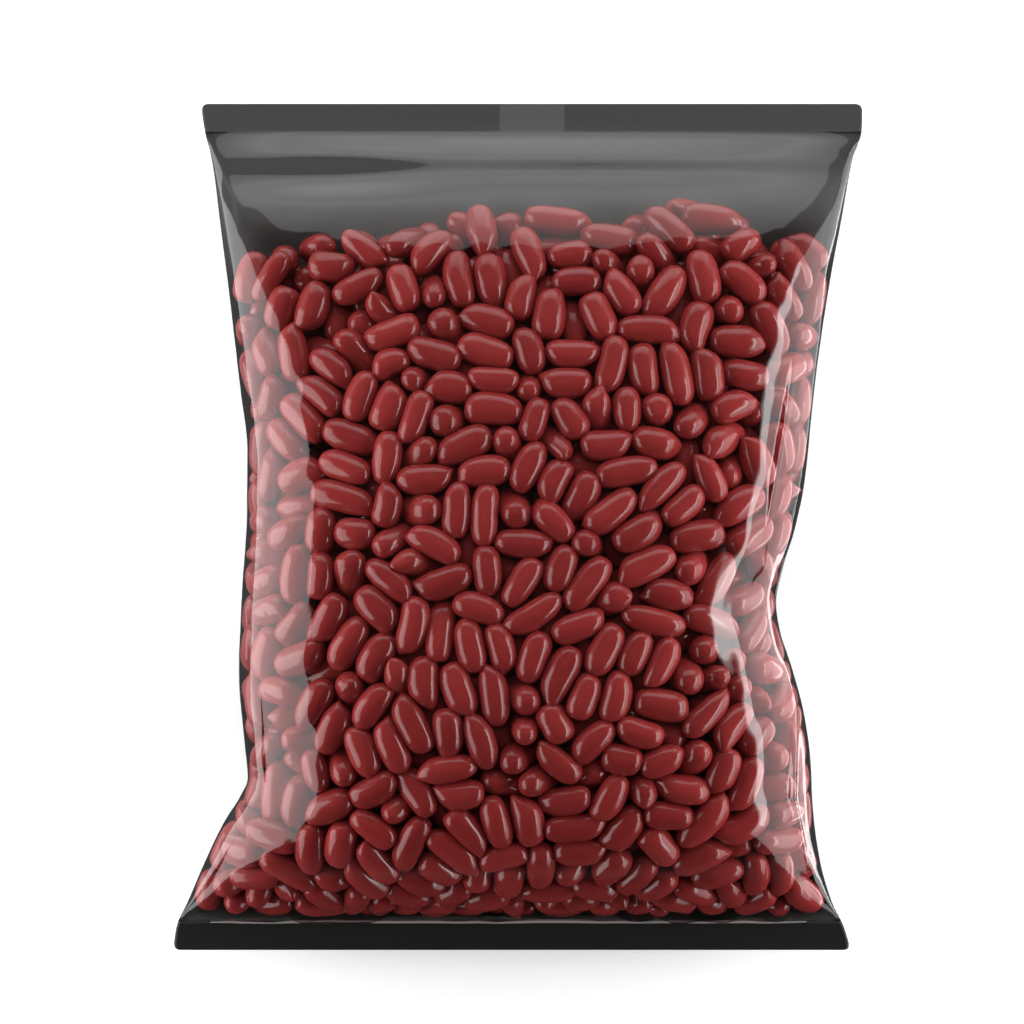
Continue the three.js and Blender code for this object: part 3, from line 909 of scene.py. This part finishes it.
def clear_film_material():
    """Thin clear film: it lets light through and mirrors more at a slant."""
    material, nodes, links, output = new_material("clear_film")
    through = nodes.new("ShaderNodeBsdfTransparent")
    mirror = nodes.new("ShaderNodeBsdfGlossy")
    mirror.inputs["Roughness"].default_value = FILM_ROUGHNESS
    edge_on = nodes.new("ShaderNodeLayerWeight")
    edge_on.inputs["Blend"].default_value = 0.5
    darker = nodes.new("ShaderNodeValToRGB")
    darker.color_ramp.elements[0].position = EDGE_ON_FROM
    darker.color_ramp.elements[0].color = (*FILM_PASSES, 1)
    darker.color_ramp.elements[1].color = (*FILM_PASSES_EDGE_ON, 1)
    links.new(edge_on.outputs["Facing"], darker.inputs["Fac"])
    links.new(darker.outputs["Color"], through.inputs["Color"])
    slant = nodes.new("ShaderNodeFresnel")
    slant.inputs["IOR"].default_value = FILM_IOR
    both_faces = nodes.new("ShaderNodeMath")
    both_faces.operation = "MULTIPLY"
    both_faces.inputs[1].default_value = FILM_MIRROR
    least = nodes.new("ShaderNodeMath")
    least.operation = "MINIMUM"
    least.inputs[1].default_value = FILM_MIRROR_LIMIT
    mix = nodes.new("ShaderNodeMixShader")
    links.new(slant.outputs["Fac"], both_faces.inputs[0])
    links.new(both_faces.outputs["Value"], least.inputs[0])
    links.new(least.outputs["Value"], mix.inputs["Fac"])
    links.new(through.outputs["BSDF"], mix.inputs[1])
    links.new(mirror.outputs["BSDF"], mix.inputs[2])
    links.new(mix.outputs["Shader"], output.inputs["Surface"])
    return material


def dark_film_material():
    """Smoke dark film, near black. It is paler towards the top seal and in a band just above the
    bottom seal: painted sheen for the light the film catches there. It is paler also where the
    lap is sealed in."""
    material, nodes, links, output = new_material("dark_film")
    body = nodes.new("ShaderNodeBsdfPrincipled")
    body.inputs["Roughness"].default_value = DARK_ROUGHNESS
    body.inputs["Specular IOR Level"].default_value = DARK_SPECULAR
    place = nodes.new("ShaderNodeTexCoord")
    split = nodes.new("ShaderNodeSeparateXYZ")
    along = nodes.new("ShaderNodeMapRange")
    along.inputs["From Min"].default_value = BOTTOM * MM
    along.inputs["From Max"].default_value = TOP * MM
    # Along the bag: near black, with paler stops of painted sheen low down and towards the top.
    film_tone_and_sheen = nodes.new("ShaderNodeValToRGB")
    film_tone_and_sheen.color_ramp.elements[0].color = (*DARK_FILM, 1)
    film_tone_and_sheen.color_ramp.elements[1].color = (*TOP_SEAL_PAINTED_SHEEN, 1)
    low_line, top_line = SEAL_BAND / LENGTH, 1 - SEAL_BAND / LENGTH
    for position, colour in (
        (low_line, DARK_FILM), (low_line + TONE_STEP, DARK_FILM_LOW_PAINTED_LIGHT),
        (low_line + LOW_BAND_TO, DARK_FILM_LOW_PAINTED_LIGHT), (low_line + LOW_BAND_GONE_AT, DARK_FILM),
        (TOP_SHEEN_FROM, DARK_FILM_TOP_PAINTED_SHEEN), (top_line - TONE_STEP, DARK_FILM_TOP_PAINTED_SHEEN),
        (top_line, TOP_SEAL_PAINTED_SHEEN),
    ):
        film_tone_and_sheen.color_ramp.elements.new(position).color = (*colour, 1)
    from_lap = nodes.new("ShaderNodeMath")
    from_lap.operation = "SUBTRACT"
    from_lap.inputs[1].default_value = LAP_X * MM
    off_lap = nodes.new("ShaderNodeMath")
    off_lap.operation = "ABSOLUTE"
    beside_lap = nodes.new("ShaderNodeMapRange")
    beside_lap.inputs["From Min"].default_value = (LAP_WIDTH / 2 - LAP_BLUR) * MM
    beside_lap.inputs["From Max"].default_value = (LAP_WIDTH / 2 + LAP_BLUR) * MM
    beside_lap.inputs["To Min"].default_value = LAP_PALER
    beside_lap.inputs["To Max"].default_value = 1
    in_seal = nodes.new("ShaderNodeMath")
    in_seal.operation = "GREATER_THAN"
    in_seal.inputs[1].default_value = TOP_SEAL * MM
    paler = nodes.new("ShaderNodeMix")
    paler.inputs["A"].default_value = 1
    brighten = nodes.new("ShaderNodeVectorMath")
    brighten.operation = "SCALE"
    links.new(split.outputs["X"], from_lap.inputs[0])
    links.new(from_lap.outputs["Value"], off_lap.inputs[0])
    links.new(off_lap.outputs["Value"], beside_lap.inputs["Value"])
    links.new(split.outputs["Y"], in_seal.inputs[0])
    links.new(in_seal.outputs["Value"], paler.inputs["Factor"])
    links.new(beside_lap.outputs["Result"], paler.inputs["B"])
    links.new(paler.outputs["Result"], brighten.inputs["Scale"])
    links.new(place.outputs["Object"], split.inputs[0])
    links.new(split.outputs["Y"], along.inputs["Value"])
    links.new(along.outputs["Result"], film_tone_and_sheen.inputs["Fac"])
    links.new(film_tone_and_sheen.outputs["Color"], brighten.inputs[0])
    links.new(brighten.outputs["Vector"], body.inputs["Base Color"])
    links.new(body.outputs["BSDF"], output.inputs["Surface"])
    return material


def bead_highlight_material():
    """Pale grey: a painted highlight line along the bottom seal's inner edge."""
    material, nodes, links, output = new_material("highlight_bead")
    body = nodes.new("ShaderNodeBsdfPrincipled")
    body.inputs["Base Color"].default_value = (*BEAD_HIGHLIGHT_GREY, 1)
    body.inputs["Roughness"].default_value = BEAD_ROUGHNESS
    links.new(body.outputs["BSDF"], output.inputs["Surface"])
    return material


def floor_material():
    material, nodes, links, output = new_material("pale_floor")
    body = nodes.new("ShaderNodeBsdfPrincipled")
    body.inputs["Base Color"].default_value = (*FLOOR_GREY, 1)
    body.inputs["Roughness"].default_value = 1
    body.inputs["Specular IOR Level"].default_value = 0
    body.inputs["Emission Color"].default_value = (1, 1, 1, 1)
    body.inputs["Emission Strength"].default_value = FLOOR_GLOW
    links.new(body.outputs["BSDF"], output.inputs["Surface"])
    return material


# The studio

def add_softbox(name, place, size, strength, aim=LIGHT_AIM):
    """A large area light at a place in metres, facing another."""
    light = bpy.data.lights.new(name, "AREA")
    light.shape = "RECTANGLE"
    light.size, light.size_y = size
    light.energy = strength * size[0] * size[1]
    obj = bpy.data.objects.new(name, light)
    obj.location = place
    toward = Vector(aim) - Vector(place)
    obj.rotation_euler = toward.to_track_quat("-Z", "Y").to_euler()
    obj.visible_camera = False
    bpy.context.scene.collection.objects.link(obj)
    return obj


def flat_mesh(name, left, right, near, far, level):
    """A level rectangle."""
    corners = [(left, near, level), (right, near, level), (right, far, level),
               (left, far, level)]
    return new_mesh(name, corners, [(0, 1, 2, 3)], smooth=False)


def add_black_card():
    """A card in front of the bag that only mirrors see: it keeps the low end of the film
    clear of the pale floor's image."""
    card = flat_mesh("black_card", -CARD_REACH, CARD_REACH, CARD_END, CARD_EDGE, CARD_LEVEL)
    material, nodes, links, output = new_material("black_card")
    body = nodes.new("ShaderNodeBsdfDiffuse")
    body.inputs["Color"].default_value = (*CARD_BLACK, 1)
    links.new(body.outputs["BSDF"], output.inputs["Surface"])
    card.data.materials.append(material)
    card.visible_camera = card.visible_diffuse = card.visible_shadow = False
    card.visible_transmission = False


def add_surroundings():
    """A plain pale backdrop for the camera, and a dim sky for all other rays."""
    world = bpy.data.worlds.new("studio")
    bpy.context.scene.world = world
    world.use_nodes = True
    nodes, links = world.node_tree.nodes, world.node_tree.links
    back = nodes["Background"]
    way = nodes.new("ShaderNodeTexCoord")
    split = nodes.new("ShaderNodeSeparateXYZ")
    ramp = nodes.new("ShaderNodeValToRGB")
    ramp.color_ramp.elements.remove(ramp.color_ramp.elements[1])
    for height, grey in SKY[1:]:
        ramp.color_ramp.elements.new(height).color = (grey, grey, grey, 1)
    height, grey = SKY[0]
    ramp.color_ramp.elements[0].position = height
    ramp.color_ramp.elements[0].color = (grey, grey, grey, 1)
    links.new(way.outputs["Generated"], split.inputs[0])
    links.new(split.outputs["Z"], ramp.inputs["Fac"])
    links.new(ramp.outputs["Color"], back.inputs["Color"])
    towards = nodes.new("ShaderNodeMapRange")
    towards.inputs["From Min"].default_value = SKY_FROM
    towards.inputs["From Max"].default_value = SKY_TO
    towards.inputs["To Min"].default_value = SKY_FAINTEST
    links.new(split.outputs["Y"], towards.inputs["Value"])
    path = nodes.new("ShaderNodeLightPath")
    plain = nodes.new("ShaderNodeBackground")
    plain.inputs["Color"].default_value = (*BACKDROP, 1)
    seen = nodes.new("ShaderNodeMixShader")
    links.new(towards.outputs["Result"], back.inputs["Strength"])
    links.new(path.outputs["Is Camera Ray"], seen.inputs["Fac"])
    links.new(back.outputs["Background"], seen.inputs[1])
    links.new(plain.outputs["Background"], seen.inputs[2])
    links.new(seen.outputs["Shader"], nodes["World Output"].inputs["Surface"])


def add_floor():
    floor = flat_mesh("floor", -FLOOR_REACH, FLOOR_REACH, -FLOOR_REACH, FLOOR_REACH, 0)
    floor.data.materials.append(floor_material())
    floor.visible_glossy = floor.visible_shadow = False


def add_lights():
    for name, x, y, width, low, high, strength in SOFTBOXES:
        middle = (low + high) / 2
        add_softbox(name, (x, y, middle), (width, high - low), strength,
                    aim=(0, 0, middle) if y > 0 else (0, y, middle))
    for name, place, size, strength in FILLS:
        add_softbox(name, place, size, strength).visible_glossy = False


def add_camera():
    """The photograph's view: from straight above, as far off as frames the bag at its
    seals' level."""
    camera = bpy.data.objects.new("camera", bpy.data.cameras.new("camera"))
    camera.data.lens = LENS
    camera.data.sensor_width = SENSOR
    camera.location = (CAMERA_X * MM, CAMERA_Y * MM,
                       (SEAL_LEVEL + VIEW_WIDTH * LENS / SENSOR) * MM)
    bpy.context.scene.collection.objects.link(camera)
    bpy.context.scene.camera = camera


def main():
    rng = np.random.default_rng(SEED)
    beans, inside, room = pack_beans(rng)
    skin = bean_skin()
    at_film = inside < AT_FILM_DEPTH
    behind = ~at_film & (inside < SHOWN_DEPTH)
    upper = beans[0][:, 1] >= 0
    near_points = []
    for name, chosen, detail in (
        ("beans_upper", at_film & upper, NEAR_DETAIL),
        ("beans_lower", at_film & ~upper, NEAR_DETAIL),
        ("beans_behind", behind, BEHIND_DETAIL),
        ("beans_inside", ~at_film & ~behind, INSIDE_DETAIL),
    ):
        some = [part[chosen] for part in beans]
        piece, points = bean_piece(name, rng, some, room, *detail)
        if detail is NEAR_DETAIL:
            near_points.append(points)
        piece.data.materials.append(skin)
        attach(piece, "root")
    clear, dark = film_pieces(beans, np.concatenate(near_points))
    clear.data.materials.append(clear_film_material())
    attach(clear, "root")
    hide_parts("bag")
    # The bead along the bottom seal carries a painted highlight line.
    bead = highlight_bead(rng)
    bead.data.materials.append(bead_highlight_material())
    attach(bead, "root")
    seam = lap_strip()
    black = dark_film_material()
    for piece in (dark, seam):
        piece.data.materials.append(black)
        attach(piece, "root")
    bpy.context.scene.view_settings.view_transform = "Standard"
    add_surroundings()
    add_floor()
    add_lights()
    add_black_card()
    add_camera()


main()
